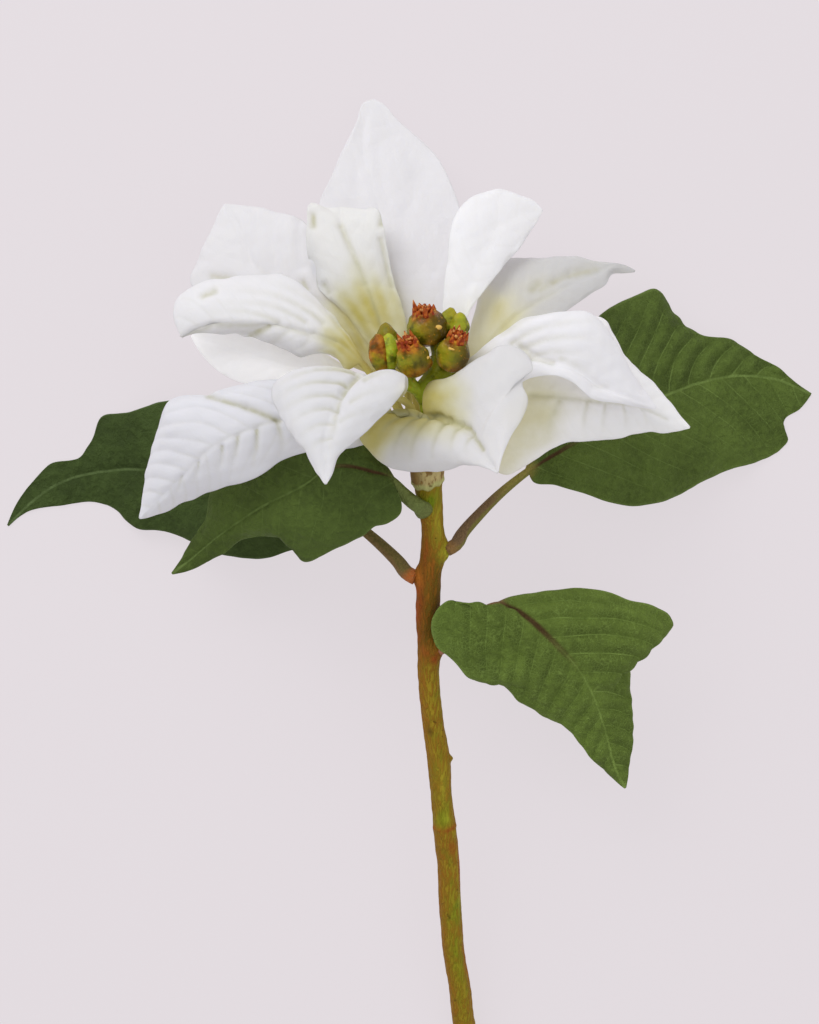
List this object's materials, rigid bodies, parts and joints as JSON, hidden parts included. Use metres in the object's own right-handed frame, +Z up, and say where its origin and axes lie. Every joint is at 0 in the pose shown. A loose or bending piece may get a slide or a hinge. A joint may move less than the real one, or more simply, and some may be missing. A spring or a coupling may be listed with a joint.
{
  "type": "poinsettia stem",
  "caption": "Cut poinsettia stem lying on its back: a bloom of pointed white bracts round small green and red cyathia, with lobed green leaves on stalks.",
  "frame": {"origin": "on the surface the stem lies on, under the middle of the bounding box", "axes": "+Y along the stem from its cut end to the bloom, +Z up from the surface, +X to the right seen from above"},
  "size_m": [0.2665, 0.3287, 0.1014],
  "materials": {
    "stem": "green to red-brown bark, slightly ribbed, satin",
    "cyathium": "olive green flushed with brown-red, waxy",
    "stamen": "brick red with yellow tips",
    "leaf": "dark green, matt, with a fine net of paler veins",
    "bract": "white, matt, yellow-green at the foot and along the veins"
  },
  "bodies": {
    "root": {"stem": "stem", "cyathia": "cyathium", "stamens_top": "stamen", "stamens_front": "stamen", "stamens_right": "stamen", "leaf_left_back": "leaf", "leaf_left_front": "leaf", "leaf_right": "leaf", "leaf_lower": "leaf", "bract_01": "bract", "bract_02": "bract", "bract_03": "bract", "bract_04": "bract", "bract_05": "bract", "bract_06": "bract", "bract_07": "bract", "bract_08": "bract", "bract_09": "bract", "bract_10": "bract", "bract_11": "bract", "bract_12": "bract"}
  },
  "joints": []
}
